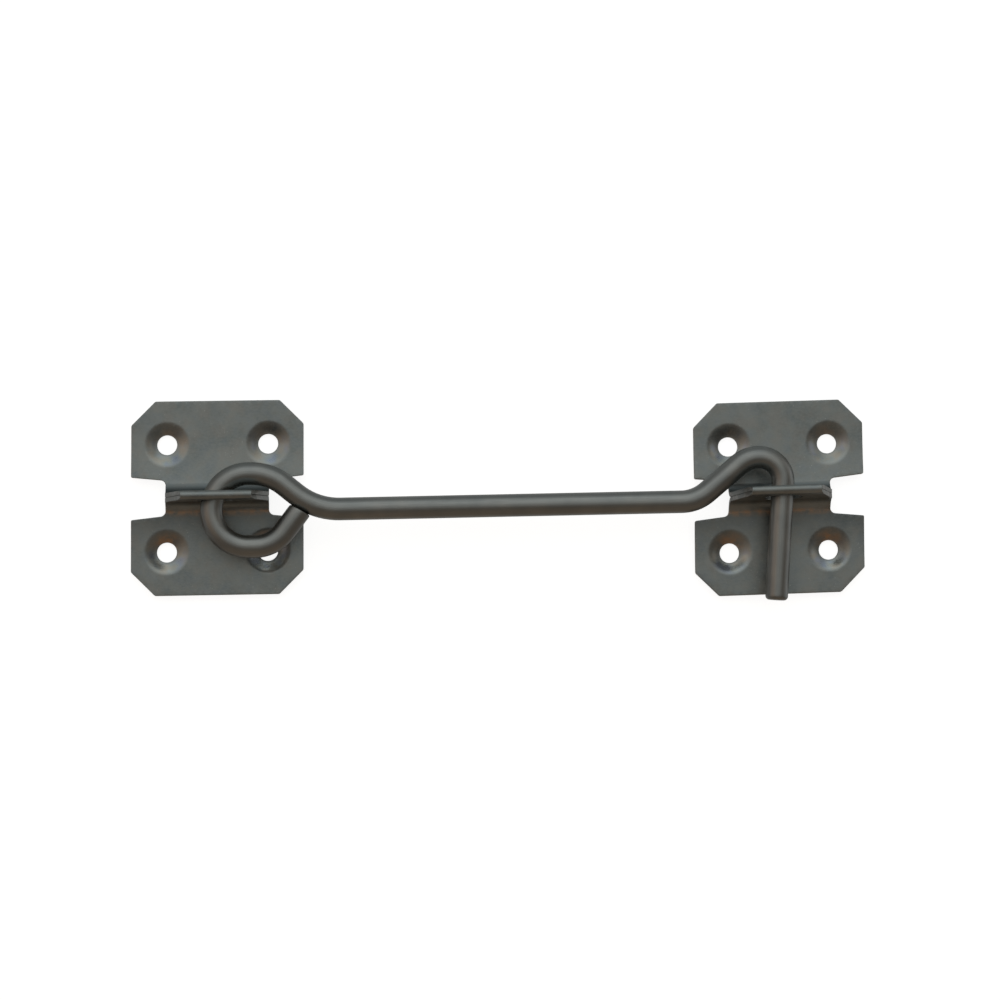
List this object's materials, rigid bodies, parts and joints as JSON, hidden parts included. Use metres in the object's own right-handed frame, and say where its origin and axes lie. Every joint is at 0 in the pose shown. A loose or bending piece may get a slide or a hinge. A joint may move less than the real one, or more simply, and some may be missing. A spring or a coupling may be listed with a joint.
{
  "type": "wire cabin hook with eye plates",
  "caption": "Bent wire hook whose eye swings in a folded staple plate and whose leg drops through the tongue of a matching keeper plate, to hold a gate or door shut.",
  "frame": {"origin": "back face of the staple plate's upper leaf, midway between its two screw holes", "axes": "+X from the staple to the keeper, +Y the way the hook lifts out of the keeper, +Z out of the surface that the plates are screwed to"},
  "size_m": [0.1631, 0.0451, 0.015],
  "materials": {
    "zinc_sheet": "dull zinc plated, rolled sheet",
    "zinc_wire": "dull zinc plated, drawn wire"
  },
  "bodies": {
    "staple": {"staple_plate": "zinc_sheet"},
    "hook": {"hook": "zinc_wire"},
    "keeper": {"keeper_plate": "zinc_sheet"}
  },
  "joints": [
    {"name": "hook_lift", "type": "hinge", "parent": "staple", "child": "hook", "pos_m": [0.0069, -0.015, 0.0078], "axis": [0, 0, 1], "range_deg": [0, 105]},
    {"name": "keeper_slide", "type": "slide", "parent": "staple", "child": "keeper", "axis": [-0.0645, -0.9979, 0], "range_m": [0, 0.035]}
  ]
}
